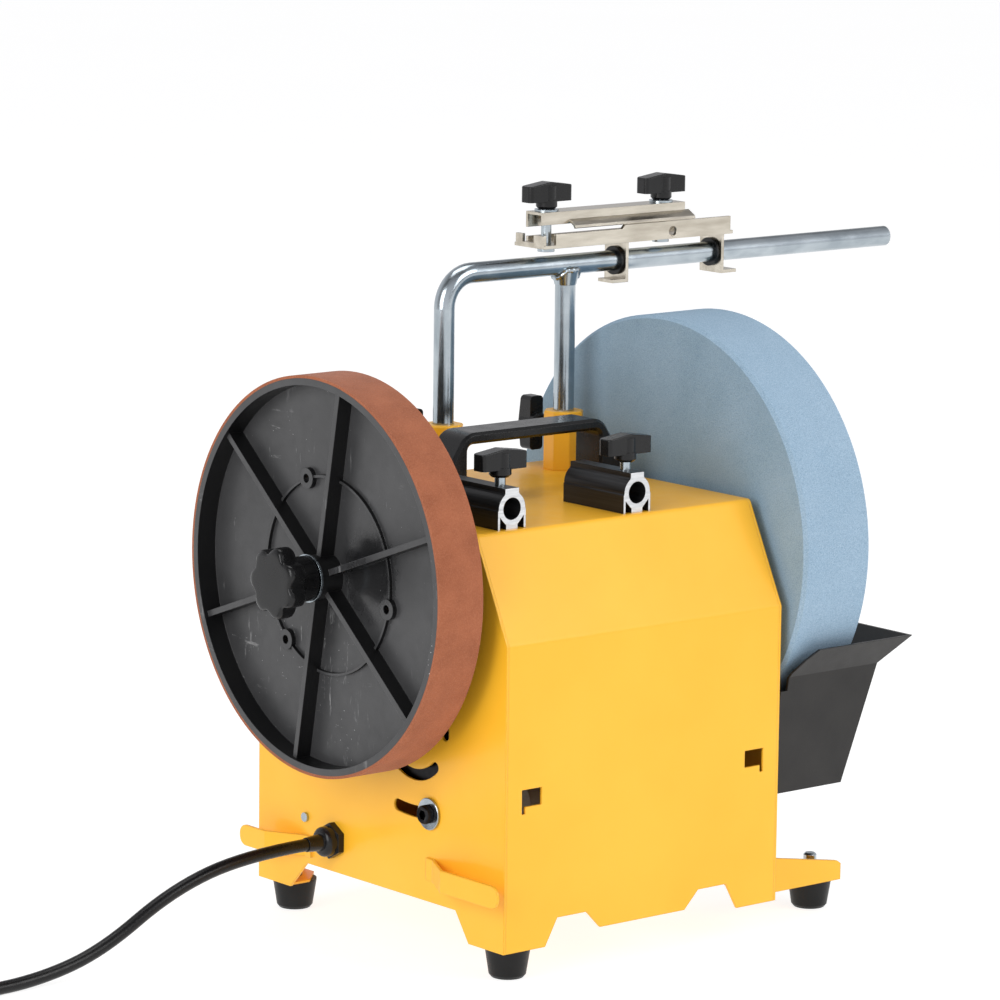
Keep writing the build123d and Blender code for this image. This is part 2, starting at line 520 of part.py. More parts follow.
def tension_bolt():
    """Clamping bolt of the motor cradle with its washer, riding in the panel's curved slot."""
    bolt = rod_x(-103.0, -88.0, TENSION_Y, TENSION_Z, 3.0) + rod_x(-105.8, -101.9, TENSION_Y, TENSION_Z, 5.2)
    socket = Pos(-106, TENSION_Y, TENSION_Z) * Rot(0, 90, 0) * extrude(RegularPolygon(2.7, 6), 2.2, both=True)
    washer = tube_x(-101.9, -100.3, TENSION_Y, TENSION_Z, 9.0, 3.1)
    nut = Pos(-91, TENSION_Y, TENSION_Z) * Rot(0, 90, 0) * extrude(RegularPolygon(5.7, 6), 2.4, both=True)
    return [bolt - socket, washer, nut - rod_x(-100, -80, TENSION_Y, TENSION_Z, 3.01)]


# ---------------------------------------------------------------- tool support


def support_bar():
    """Left leg bent into the long bar."""
    corner = (LEG_LEFT_X, BAR_Y, BAR_Z)
    foot_end, bar_end = (LEG_LEFT_X, BAR_Y, LEG_FOOT_Z), (BAR_END_X, BAR_Y, BAR_Z)
    path = FilletPolyline(foot_end, corner, bar_end, radius=BEND_RADIUS)
    return sweep(Plane(origin=path @ 0, z_dir=path % 0) * Circle(ROD_R), path)


def support_leg():
    """Right leg, coped and welded under the bar."""
    leg = rod_z(LEG_RIGHT_X, BAR_Y, LEG_FOOT_Z, BAR_Z - ROD_R / 2, ROD_R)
    weld = Pos(LEG_RIGHT_X, BAR_Y, BAR_Z - 7) * Cone(ROD_R + 0.4, ROD_R + 2.6, 9)
    return leg + weld - rod_x(LEG_RIGHT_X - 30, LEG_RIGHT_X + 30, BAR_Y, BAR_Z, ROD_R + 0.01)


# ---------------------------------------------------------------- jig


def jig_base():
    """Folded channel with a turned-up tab at each end."""
    t = JIG_SHEET
    low_x = JIG_X0 + 8.6
    base = block(JIG_X0, JIG_X1, JIG_Y0, JIG_Y1, JIG_Z0, JIG_Z0 + t)
    front = outline((low_x, JIG_Z0), (low_x, JIG_Z1 - 2.2), (115, JIG_Z1 - 2.2), (117, JIG_Z1),
                    (JIG_X1 - 2, JIG_Z1), (JIG_X1 - 2, JIG_Z0))
    base += slab_y(front, JIG_Y0, JIG_Y0 + t)
    base += block(low_x, JIG_X1 - 2, JIG_Y1 - t, JIG_Y1, JIG_Z0, JIG_Z0 + JIG_BACK_H)
    base += block(JIG_X0, JIG_X0 + t, JIG_Y0 + 1, JIG_Y1 - 1, JIG_Z0, JIG_Z1 - 3)
    base -= block(JIG_X0 - 1, JIG_X0 + t + 1, JIG_Y1 - 17, JIG_Y1 - 7, JIG_Z1 - 7.5, JIG_Z1)
    base -= rod_y(JIG_HOLE_X, JIG_Y0 - 1, JIG_Y0 + t + 1, JIG_Z0 + 4.4, 3.0)
    for x in STUD_X:
        base -= rod_z(x, STUD_Y, JIG_Z0 - 1, JIG_Z0 + t + 1, 3.05)
    return base


def hook_plate(x, turn):
    """Plate hanging from the channel round the bar; its foot turns out to one side."""
    t = JIG_SHEET
    plate = block(x, x + t, HOOK_Y0, HOOK_Y1, HOOK_FOOT_Z, JIG_Z0)
    foot_x = (x - HOOK_FOOT_L, x + t) if turn < 0 else (x, x + t + HOOK_FOOT_L)
    plate += block(*foot_x, HOOK_Y0, HOOK_Y1 - 6, HOOK_FOOT_Z, HOOK_FOOT_Z + t)
    return plate - rod_x(x - 1, x + t + 1, BAR_Y, BAR_Z, BUSH_R)


def slide_bush(x):
    """Plastic bush in a hook plate, free to slide and turn on the bar."""
    t = JIG_SHEET
    bush = rod_x(x - 2.0, x + t + 1.5, BAR_Y, BAR_Z, BUSH_R - 0.05)
    bush += rod_x(x - 2.0, x - 0.3, BAR_Y, BAR_Z, BUSH_FLANGE_R)
    return bush - rod_x(x - 9, x + 9, BAR_Y, BAR_Z, ROD_R + RUNNING)


def jig_jaw():
    """Inverted channel that clamps the tool, with a rolled lip along its front."""
    t = 1.6
    section = outline(
        (JAW_Y0, JAW_Z0 + 2), (JAW_Y0, JAW_Z1), (JAW_Y1, JAW_Z1), (JAW_Y1, JAW_Z0), (JAW_Y1 - t, JAW_Z0),
        (JAW_Y1 - t, JAW_Z1 - t), (JAW_Y0 + t, JAW_Z1 - t), (JAW_Y0 + t, JAW_Z0 + 2),
    )
    jaw = slab_x(section, JAW_X0, JAW_X1)
    lip = outline((JAW_Y0 + 0.2, JAW_Z1 - 4.5), (JAW_Y0 - 5.5, JAW_Z0 + 1.5), (JAW_Y0 - 6.2, JAW_Z0),
                  (JAW_Y0 - 4.6, JAW_Z0 - 0.6), (JAW_Y0 - 3.6, JAW_Z0 + 1), (JAW_Y0 + 0.8, JAW_Z0 + 3.6))
    jaw += slab_x(lip, JAW_X0 + 20, JAW_X1 + 3)
    for x in STUD_X:
        jaw -= rod_z(x, STUD_Y, JAW_Z0, JAW_Z1 + 1, 3.3)
    return jaw


def jig_stud(x):
    stud = rod_z(x, STUD_Y, JIG_Z0 - 2.4, JAW_Z1 + 9.5, 3.0)
    return stud + Pos(x, STUD_Y, JIG_Z0 - 1.2) * Cylinder(5.0, 2.4)


def jig_washer(x):
    return rod_z(x, STUD_Y, JAW_Z1, JAW_Z1 + 1.2, 7.0) - rod_z(x, STUD_Y, JAW_Z1 - 1, JAW_Z1 + 3, 3.2)


# ---------------------------------------------------------------- trough


def trough_ring(level, inset):
    z, right, front = level
    back = 2 * SHAFT_Y - front
    x0, x1 = TROUGH_X0 + inset, right - inset
    y0, y1 = front + inset, back - inset
    return Plane.XY.offset(z) * outline((x0, y0), (x1, y0), (x1, y1), (x0, y1))


def water_trough():
    def hollow(inset, base):
        floor = (TROUGH_BOTTOM[0] + base,) + TROUGH_BOTTOM[1:]
        low = loft([trough_ring(floor, inset), trough_ring(TROUGH_FOLD, inset)])
        return low + loft([trough_ring(TROUGH_FOLD, inset), trough_ring(TROUGH_RIM, inset)])

    tray = hollow(0, 0) - hollow(TROUGH_T, TROUGH_T)
    top, edge = TROUGH_RIM[0] + 1, TROUGH_X0 - 5
    dip = outline((edge, 120), (105.5, 120), (108, 130), (114, 138), (122, top), (edge, top))
    tray -= slab_y(dip, -20, 60)
    tray -= slab_y(dip, 2 * SHAFT_Y - 60, 2 * SHAFT_Y + 20)
    tray -= block(edge, TROUGH_X0 + 5, -20, 2 * SHAFT_Y + 20, 120, top)
    return tray


def bush(side):
    """Flanged plain bearing in a side panel."""
    xs = sorted((side * (HALF_W + 2), side * (HALF_W - 12)))
    flange = sorted((side * PANEL_IN, side * (PANEL_IN - 2)))
    body = rod_x(*xs, SHAFT_Y, SHAFT_Z, 10.95) + rod_x(*flange, SHAFT_Y, SHAFT_Z, 15.0)
    return body - rod_x(xs[0] - 1, xs[1] + 1, SHAFT_Y, SHAFT_Z, SHAFT_R + RUNNING)


def cover_screws():
    """Pan head screws: one seen on each side panel, and two up into the handle."""
    screws = []
    for side in (-1, 1):
        head = rod_x(*sorted((side * HALF_W, side * (HALF_W + 1.7))), 176.0, 43.4, 2.7)
        shank = rod_x(*sorted((side * HALF_W, side * (HALF_W + 0.5))), 176.0, 43.4, 1.9)
        screws.append(head + shank)
    for x, y in handle_screw_places():
        head = rod_z(x, y, HOUSING_H - SHEET - 2.2, HOUSING_H - SHEET, 4.0)
        screws.append(head + rod_z(x, y, HOUSING_H - SHEET - 1, HOUSING_H + 11, 1.95))
    return screws


# ---------------------------------------------------------------- electrics


def cord_gland():
    cap = rod_x(-110.5, -103.0, GLAND_Y, GLAND_Z, 8.6)
    cap = fillet(cap.edges().group_by(Axis.X)[0], 3.4)
    gland = cap + cone_x(-109.0, 5.0, GLAND_TIP_X, 4.1, GLAND_Y, GLAND_Z)
    nut = Pos(-102.0, GLAND_Y, GLAND_Z) * Rot(0, 90, 0) * extrude(RegularPolygon(10.4, 6), 2.0, both=True)
    gland += nut + rod_x(-103.0, -90.0, GLAND_Y, GLAND_Z, 6.2)
    gland += rod_x(-PANEL_IN, -95.0, GLAND_Y, GLAND_Z, 9.0)
    return gland - rod_x(-121, -89, GLAND_Y, GLAND_Z, CORD_R)


def run_capacitor():
    return rod_x(30.0, 88.0, 150.0, BASE_Z + SHEET + 17.5, 17.5)


def cord_path(points):
    """Straight runs joined by the largest arcs that their lengths allow."""
    knots = [Vector(*p) for p in points]
    radii = []
    for before, here, after in zip(knots, knots[1:], knots[2:]):
        turn = radians((here - before).get_angle(after - here))
        shorter = min((here - before).length, (after - here).length)
        radii.append(0.45 * shorter / tan(turn / 2))
    print("lead bend radii", [round(r) for r in radii])
    return FilletPolyline(*knots, radius=radii)


def mains_lead():
    path = cord_path(CORD_ROUTE)
    lead = sweep(Plane(origin=path @ 0, z_dir=path % 0) * Circle(CORD_R), path)
    print("lead tube", round(path.length, 1), round(lead.volume / (pi * CORD_R**2 * path.length), 4))
    tail = rod_x(COIL_X, PLUG_X0, PLUG_Y, TAIL_Z, CORD_R)
    coil_length = COIL_TURNS * 2 * pi * COIL_R
    print("lead length", round(path.length + coil_length + PLUG_X0 - COIL_X))
    return [lead, tail]


def lead_coil():
    """Outer shape of the coil: each layer is a flat spiral, three turns wide where it starts."""
    wide, high = COIL_WIDE * CORD_D, COIL_HIGH * CORD_D
    section = Pos(COIL_R, FLOOR_Z + high / 2) * RectangleRounded(wide, high, CORD_R - 0.1)
    return Pos(COIL_X, COIL_Y, 0) * revolve(Plane.XZ * section, Axis.Z)


def mains_plug():
    """Round moulded plug with two pins, lying beside the coil."""
    z = FLOOR_Z + PLUG_R
    relief = cone_x(PLUG_X0, 5.0, PLUG_X0 + 12, 8.5, PLUG_Y, z)
    body = cone_x(PLUG_X0 + 12, 12.0, PLUG_X0 + 26, PLUG_R, PLUG_Y, z)
    body += rod_x(PLUG_X0 + 26, PLUG_X0 + 12 + PLUG_L, PLUG_Y, z, PLUG_R)
    plug = relief + body
    face = PLUG_X0 + 12 + PLUG_L
    for side in (-1, 1):
        plug += rod_x(face - 2, face + PIN_L, PLUG_Y + side * PIN_SPACING / 2, z, PIN_R)
    return plug


# ---------------------------------------------------------------- assembly


def assemble():
    parts["wrap_cover"] = wrap_cover()
    parts["left_side_panel"] = left_side_panel()
    parts["right_side_panel"] = right_side_panel()
    parts["base_plate"] = base_plate()
    parts["front_outrigger"] = outrigger()
    parts["rear_outrigger"] = mirror_y(outrigger())
    names = ("foot_front_left", "foot_rear_left", "foot_front_right", "foot_rear_right")
    for name, place in zip(names, foot_places()):
        parts[name] = foot(*place)
    parts["foot_screws"] = foot_screws()
    parts["carry_handle"] = carry_handle()
    for name, x in zip(("left", "right"), FLAT_SLEEVE_X):
        parts["front_sleeve_" + name] = flat_sleeve(x)
        tip = FLAT_BORE_Z + BORE_R + 0.3
        hub = NECK_Z + 5.0
        parts["front_lock_screw_" + name] = Pos(x, LOCK_Y, tip) * lock_screw(hub + 9 - tip)
        parts["front_lock_knob_" + name] = Pos(x, LOCK_Y, hub) * wing_knob()
    for name, x in (("left", LEG_LEFT_X), ("right", LEG_RIGHT_X)):
        parts["upright_sleeve_" + name] = upright_sleeve(x)
        tip, hub = BAR_Y + ROD_R + 0.2, BAR_Y + 20.0
        lying = Rot(-90, 0, 0)
        parts["rear_lock_screw_" + name] = Pos(x, tip, BACK_LOCK_Z) * lying * lock_screw(hub + 9 - tip)
        parts["rear_lock_knob_" + name] = Pos(x, hub, BACK_LOCK_Z) * lying * Rot(0, 0, 90) * wing_knob()
    parts["shaft_bush_left"] = bush(-1)
    parts["shaft_bush_right"] = bush(1)
    parts["cover_screws"] = cover_screws()
    parts["pivot_rod"] = rod_x(-HALF_W, HALF_W, PIVOT_Y, PIVOT_Z, PIVOT_R)
    parts["switch_body"] = switch_body()
    parts["switch_rocker"] = rocker()
    parts["run_capacitor"] = run_capacitor()
    parts["cord_gland"] = cord_gland()
    parts["water_trough"] = water_trough()
    parts["main_shaft"] = main_shaft()
    parts["grindstone"] = grindstone()
    parts["shaft_hardware"] = shaft_hardware()
    parts["honing_disc"] = honing_disc()
    parts["leather_band"] = leather_band()
    parts["drive_ring"] = drive_ring()
    parts["star_knob"] = star_knob()
    parts["knob_stud"] = knob_stud()
    parts["motor_stator"] = motor_stator()
    parts["motor_shields"] = motor_shields()
    parts["swing_plate"] = swing_plate()
    parts["tension_bolt"] = tension_bolt()
    parts["rotor"] = rotor()
    parts["drive_roller"] = tube_x(-123.4, -103.5, MOTOR_Y, MOTOR_Z, ROLLER_R, MOTOR_SHAFT_R + 0.01)
    parts["support_bar"] = support_bar()
    parts["support_leg"] = support_leg()
    parts["slide_bushes"] = [slide_bush(x) for x in HOOK_X]
    parts["jig_base"] = jig_base()
    parts["jig_hooks"] = [hook_plate(HOOK_X[0], -1), hook_plate(HOOK_X[1], 1)]
    parts["jig_jaw"] = jig_jaw()
    parts["jig_studs"] = [jig_stud(x) for x in STUD_X]
    parts["jig_washers"] = [jig_washer(x) for x in STUD_X]
    for name, x in zip(("left", "right"), STUD_X):
        parts["jig_knob_" + name] = Pos(x, STUD_Y, JAW_Z1 + 1.4) * wing_knob()
    parts["mains_lead"] = mains_lead()
    parts["lead_coil"] = lead_coil()
    parts["mains_plug"] = mains_plug()


def main():
    assemble()
    os.makedirs("parts", exist_ok=True)
    shift = Pos(-ORIGIN_X, -ORIGIN_Y, -ORIGIN_Z)
    for name, made in parts.items():
        solids = made if isinstance(made, list) else [made]
        solids = [s for piece in solids for s in (shift * piece).solids()]
        shape = solids[0] if len(solids) == 1 else Compound(children=solids)
        shape.label = name
        export_step(shape, "parts/" + name + ".step")
    print(len(parts), "nodes; origin", ORIGIN_X, ORIGIN_Y, ORIGIN_Z)


main()
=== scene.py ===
import bpy
import bmesh
import json
from math import cos, pi, radians, sin, sqrt
from mathutils import Matrix, Vector, noise


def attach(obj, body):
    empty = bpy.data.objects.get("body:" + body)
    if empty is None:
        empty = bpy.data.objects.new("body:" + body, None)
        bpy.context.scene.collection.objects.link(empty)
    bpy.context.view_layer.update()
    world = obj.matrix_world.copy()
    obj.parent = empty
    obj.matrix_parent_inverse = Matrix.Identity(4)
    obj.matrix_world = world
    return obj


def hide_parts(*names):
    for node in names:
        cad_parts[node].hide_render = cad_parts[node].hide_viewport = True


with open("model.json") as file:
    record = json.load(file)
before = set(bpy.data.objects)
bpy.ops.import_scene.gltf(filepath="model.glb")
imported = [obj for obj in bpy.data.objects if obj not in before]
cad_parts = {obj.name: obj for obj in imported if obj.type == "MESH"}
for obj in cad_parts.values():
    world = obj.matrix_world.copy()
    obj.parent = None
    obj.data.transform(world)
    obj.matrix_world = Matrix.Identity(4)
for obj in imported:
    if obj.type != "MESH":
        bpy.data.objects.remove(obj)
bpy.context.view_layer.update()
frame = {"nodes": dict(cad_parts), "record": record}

# Looks of a wet grinding sharpener. Metres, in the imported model's frame: +X along the spindle from the
# honing wheel to the stone, +Y to the back, +Z up, origin on the floor under the machine's middle.
MM = 0.001
ORIGIN = Vector((82.35, 113.15, -17.4))  # the frame's origin in the part's drawing, millimetres


def at(x, y, z):
    """A point given as in the part's drawing, in millimetres, in this frame."""
    return (Vector((x, y, z)) - ORIGIN) * MM


# ---------------------------------------------------------------- camera and lead

CAMERA_AT = (-1767.1, -1999.8, 697.0)
CAMERA_AZIMUTH, CAMERA_ELEVATION, CAMERA_ROLL = radians(-39.71), radians(9.74), radians(0.69)
CAMERA_LENS, CAMERA_SENSOR = 178.5, 36.0


def make_camera():
    az, el, roll = CAMERA_AZIMUTH, CAMERA_ELEVATION, CAMERA_ROLL
    back = Vector((sin(az) * cos(el), -cos(az) * cos(el), sin(el)))
    level = Vector((cos(az), sin(az), 0))
    upright = back.cross(level)
    right = cos(roll) * level + sin(roll) * upright
    up = back.cross(right)
    data = bpy.data.cameras.new("camera")
    data.lens, data.sensor_width = CAMERA_LENS, CAMERA_SENSOR
    data.clip_start, data.clip_end = 0.05, 100
    camera = bpy.data.objects.new("camera", data)
    bpy.context.scene.collection.objects.link(camera)
    axes = Matrix((right, up, back)).transposed().to_4x4()
    camera.matrix_world = Matrix.Translation(at(*CAMERA_AT)) @ axes
    bpy.context.scene.camera = camera


# The lead: out of the gland, down to the floor, then wound in a coil that ends in the plug.
LEAD_D = 7.2
LEAD_ROUTE = [
    (-120.0, 150.0, 35.0),
    (-163.0, 150.0, 35.0),
    (-212.0, 151.0, 22.5),
    (-258.0, 152.0, -4.5),
    (-300.0, 151.5, -13.8),
    (-345.0, 149.3, -13.8),
]
COIL_X, COIL_Y, COIL_R, COIL_TURNS = -390.0, 198.0, 43.0, 5.5
COIL_FLOOR_Z = -13.8
STEPS_PER_TURN = 16
LAYER_TURNS, LAST_LAYER = 2, 2
CLIMB_START, CLIMB_TURNS = 0.02, 0.2
PLUG_X0, PLUG_Y, TAIL_Z = -340.0, 237.4, 0.6


def coil_place(turn):
    """A point of the coil: flat spirals, two turns to a layer, going in, out and in again."""
    layer = min(int(turn / LAYER_TURNS), LAST_LAYER)
    along = turn - LAYER_TURNS * layer
    across = along if layer % 2 == 0 else LAYER_TURNS - along
    radius = COIL_R + LEAD_D * (1 - across)
    climb = min(1.0, max(0.0, (along - CLIMB_START) / CLIMB_TURNS))
    height = COIL_FLOOR_Z + LEAD_D * (layer - 1 + climb if layer else 0)
    angle = -pi / 2 - 2 * pi * turn
    return (COIL_X + radius * cos(angle), COIL_Y + radius * sin(angle), height)


def make_lead():
    steps = int(COIL_TURNS * STEPS_PER_TURN)
    points = list(LEAD_ROUTE)
    points += [coil_place(i / STEPS_PER_TURN) for i in range(steps + 1)]
    points += [(-360.0, PLUG_Y, TAIL_Z), (PLUG_X0, PLUG_Y, TAIL_Z)]
    curve = bpy.data.curves.new("mains_lead_flex", "CURVE")
    curve.dimensions = "3D"
    curve.bevel_depth = 1.0  # times each point's radius
    curve.bevel_resolution = 6
    curve.resolution_u = 8
    curve.use_fill_caps = True
    spline = curve.splines.new("NURBS")
    spline.points.add(len(points) - 1)
    for control, point in zip(spline.points, points):
        control.co = (*at(*point), 1)
        control.radius = LEAD_D / 2 * MM
    spline.order_u = 3
    spline.use_endpoint_u = True
    lead = bpy.data.objects.new("mains_lead_flex", curve)
    bpy.context.scene.collection.objects.link(lead)
    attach(lead, "housing")
    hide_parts("mains_lead", "lead_coil")
    return lead


make_camera()
lead = make_lead()

# ---------------------------------------------------------------- node helpers


def colour(red, green, blue):
    """A screen colour, 0 to 255 each, as the linear RGBA that a shader takes."""
    def linear(v):
        v = v / 255
        return v / 12.92 if v <= 0.04045 else ((v + 0.055) / 1.055) ** 2.4
    return (linear(red), linear(green), linear(blue), 1.0)


class Surface:
    """A procedural material: one principled shader and the nodes that feed it."""

    def __init__(self, name):
        self.material = bpy.data.materials.new(name)
        self.material.use_nodes = True
        self.tree = self.material.node_tree
        self.tree.nodes.clear()
        self.shader = self.add("ShaderNodeBsdfPrincipled")
        output = self.add("ShaderNodeOutputMaterial")
        self.link(self.shader.outputs[0], output.inputs[0])
        self.where = self.add("ShaderNodeTexCoord")
        self.normal = None

    def add(self, kind, **settings):
        node = self.tree.nodes.new(kind)
        for key, value in settings.items():
            setattr(node, key, value)
        return node

    def link(self, source, target):
        self.tree.links.new(source, target)

    def set(self, **values):
        for key, value in values.items():
            self.shader.inputs[key.replace("_", " ")].default_value = value

    def noise(self, per_metre, detail=4.0, rough=0.55, stretch=(1, 1, 1)):
        """Noise of that many features to the metre, drawn out along an axis where stretch is under 1."""
        mapping = self.add("ShaderNodeMapping")
        mapping.inputs["Scale"].default_value = [per_metre * s for s in stretch]
        self.link(self.where.outputs["Object"], mapping.inputs["Vector"])
        node = self.add("ShaderNodeTexNoise")
        node.inputs["Scale"].default_value = 1.0
        node.inputs["Detail"].default_value = detail
        node.inputs["Roughness"].default_value = rough
        self.link(mapping.outputs[0], node.inputs["Vector"])
        return node.outputs["Fac"]

    def cells(self, per_metre):
        """Distance from the nearest of scattered points, that many to the metre."""
        node = self.add("ShaderNodeTexVoronoi")
        node.inputs["Scale"].default_value = per_metre
        self.link(self.where.outputs["Object"], node.inputs["Vector"])
        return node.outputs["Distance"]

    def ramp(self, factor, low, high, start=0.0, end=1.0):
        """A value going from start to end as factor goes from low to high."""
        node = self.add("ShaderNodeMapRange", clamp=True)
        for key, value in zip(("From Min", "From Max", "To Min", "To Max"), (low, high, start, end)):
            node.inputs[key].default_value = value
        self.link(factor, node.inputs["Value"])
        return node.outputs[0]

    def math(self, kind, first, second):
        node = self.add("ShaderNodeMath", operation=kind)
        for socket, value in zip(node.inputs, (first, second)):
            if isinstance(value, (int, float)):
                socket.default_value = value
            else:
                self.link(value, socket)
        return node.outputs[0]

    def mix(self, factor, first, second):
        node = self.add("ShaderNodeMix", data_type="RGBA")
        self.link(factor, node.inputs[0])
        for socket, value in ((node.inputs[6], first), (node.inputs[7], second)):
            if isinstance(value, tuple):
                socket.default_value = value
            else:
                self.link(value, socket)
        return node.outputs[2]

    def mix_value(self, factor, first, second):
        """The same as mix, for plain values."""
        return self.math("ADD", self.math("MULTIPLY", factor, self.math("SUBTRACT", second, first)), first)

    def near(self, centre, reach, ragged):
        """Distance from a place in drawing mm, 1 at the reach along each axis, with a ragged border."""
        mapping = self.add("ShaderNodeMapping", vector_type="TEXTURE")
        mapping.inputs["Location"].default_value = at(*centre)
        mapping.inputs["Scale"].default_value = [r * MM for r in reach]
        self.link(self.where.outputs["Object"], mapping.inputs["Vector"])
        length = self.add("ShaderNodeVectorMath", operation="LENGTH")
        self.link(mapping.outputs[0], length.inputs[0])
        border = self.ramp(self.noise(150, 5, 0.7), 0, 1, -ragged, ragged)
        return self.math("ADD", length.outputs["Value"], border)

    def facing(self, axis, low, high):
        """1 where the surface faces along an axis, either way, and 0 where it faces across it."""
        split = self.add("ShaderNodeSeparateXYZ")
        self.link(self.where.outputs["Normal"], split.inputs[0])
        return self.ramp(self.math("ABSOLUTE", split.outputs[axis], 0), low, high)

    def paint(self, source):
        self.link(source, self.shader.inputs["Base Color"])

    def roughness(self, source):
        self.link(source, self.shader.inputs["Roughness"])

    def rounded(self, radius):
        """Softens sharp edges in the shading, as a real bend, moulding or break has."""
        node = self.add("ShaderNodeBevel", samples=4)
        node.inputs["Radius"].default_value = radius
        self.normal = node.outputs[0]

    def worn_edge(self, radius):
        """1 on an edge and 0 elsewhere, for wear."""
        bevel = self.add("ShaderNodeBevel", samples=4)
        bevel.inputs["Radius"].default_value = radius
        flat = self.add("ShaderNodeNewGeometry")
        dot = self.add("ShaderNodeVectorMath", operation="DOT_PRODUCT")
        self.link(bevel.outputs[0], dot.inputs[0])
        self.link(flat.outputs["Normal"], dot.inputs[1])
        return self.ramp(dot.outputs["Value"], 0.98, 0.8)

    def bump(self, height, distance, strength):
        node = self.add("ShaderNodeBump")
        node.inputs["Strength"].default_value = strength
        node.inputs["Distance"].default_value = distance
        self.link(height, node.inputs["Height"])
        if self.normal is not None:
            self.link(self.normal, node.inputs["Normal"])
        self.normal = node.outputs[0]

    def done(self):
        if self.normal is not None:
            self.link(self.normal, self.shader.inputs["Normal"])
        return self.material


# ---------------------------------------------------------------- materials


def powder_coat():
    """Yellow powder coat on folded sheet: orange peel, faint cloudiness, paler flecks on the bends."""
    s = Surface("yellow_paint")
    s.rounded(0.0011)
    cloud = s.ramp(s.noise(14, 3), 0.3, 0.7)
    base = s.mix(cloud, colour(250, 184, 42), colour(254, 190, 50))
    chips = s.math("MULTIPLY", s.worn_edge(0.0008), s.ramp(s.noise(420, 5), 0.55, 0.75))
    s.paint(s.mix(s.math("MULTIPLY", chips, 0.35), base, colour(255, 218, 120)))
    s.roughness(s.ramp(s.noise(90, 4), 0.3, 0.7, 0.3, 0.38))
    s.bump(s.noise(700, 2), 0.0001, 0.3)
    s.set(Specular_IOR_Level=0.35, Coat_Weight=0.16, Coat_Roughness=0.12)
    return s.done()


def stone():
    """Fine aluminium oxide, speckled, with its flat sides painted darker than the rim as painted shade, for
    the light that falls less on them.
    """
    s = Surface("grey_blue_stone")
    grain = s.noise(1500, 6, 0.7)
    speck = s.ramp(s.cells(1300), 0.1, 0.42)
    # Painted shade: the flat sides, facing along X, take a darker copy of the rim's colour.
    shaded_flank = s.facing("X", 0.6, 0.95)
    rim = s.mix(s.ramp(grain, 0.35, 0.65), colour(132, 160, 184), colour(166, 190, 208))
    shaded_side = s.mix(s.ramp(grain, 0.35, 0.65), colour(118, 144, 164), colour(150, 174, 190))
    body = s.mix(shaded_flank, rim, shaded_side)
    cloud = s.ramp(s.noise(28, 5), 0.38, 0.66)
    body = s.mix(s.math("MULTIPLY", cloud, 0.16), body, colour(180, 200, 218))
    s.paint(s.mix(s.ramp(speck, 0, 1, 0.55, 1.0), colour(98, 124, 150), body))
    s.roughness(s.ramp(grain, 0.3, 0.7, 0.8, 0.95))
    s.bump(s.math("ADD", grain, s.math("MULTIPLY", speck, 0.5)), 0.0005, 0.55)
    s.set(Specular_IOR_Level=0.25)
    return s.done()


def leather():
    """Brushed leather: a fine nap with a painted highlight where it stands up, over a faint mottle."""
    s = Surface("honing_leather")
    nap = s.noise(1300, 6, 0.68)
    mottle = s.ramp(s.noise(60, 5, 0.6), 0.3, 0.7)
    base = s.mix(mottle, colour(144, 82, 54), colour(164, 97, 66))
    # Painted highlight: the raised nap is mixed toward a paler tan, as if its fibres catch the light.
    s.paint(s.mix(s.math("MULTIPLY", s.ramp(nap, 0.45, 0.7), 0.4), base, colour(192, 128, 96)))
    s.roughness(s.ramp(nap, 0.3, 0.7, 0.78, 0.95))
    s.bump(s.math("ADD", nap, s.math("MULTIPLY", s.cells(700), 0.5)), 0.0004, 0.6)
    s.set(Specular_IOR_Level=0.2, Sheen_Weight=0.1, Sheen_Roughness=0.5)
    return s.done()


MOULDED_EDGE = 0.0005


def moulded(name, dark, light, low_rough, high_rough, grain=1600, depth=0.00008):
    """Moulded plastic with a spark-eroded texture and rubbed edges."""
    s = Surface(name)
    s.rounded(MOULDED_EDGE)
    tint = s.mix(s.ramp(s.noise(40, 4), 0.3, 0.7), dark, light)
    rub = s.math("MULTIPLY", s.worn_edge(MOULDED_EDGE), s.ramp(s.noise(260, 4), 0.4, 0.7))
    s.paint(s.mix(s.math("MULTIPLY", rub, 0.25), tint, colour(96, 96, 98)))
    s.roughness(s.ramp(s.noise(140, 5), 0.3, 0.7, low_rough, high_rough))
    s.bump(s.noise(grain, 3), depth, 0.5)
    s.set(Specular_IOR_Level=0.34)
    return s.done()


WEB_FACE_X = -132.5


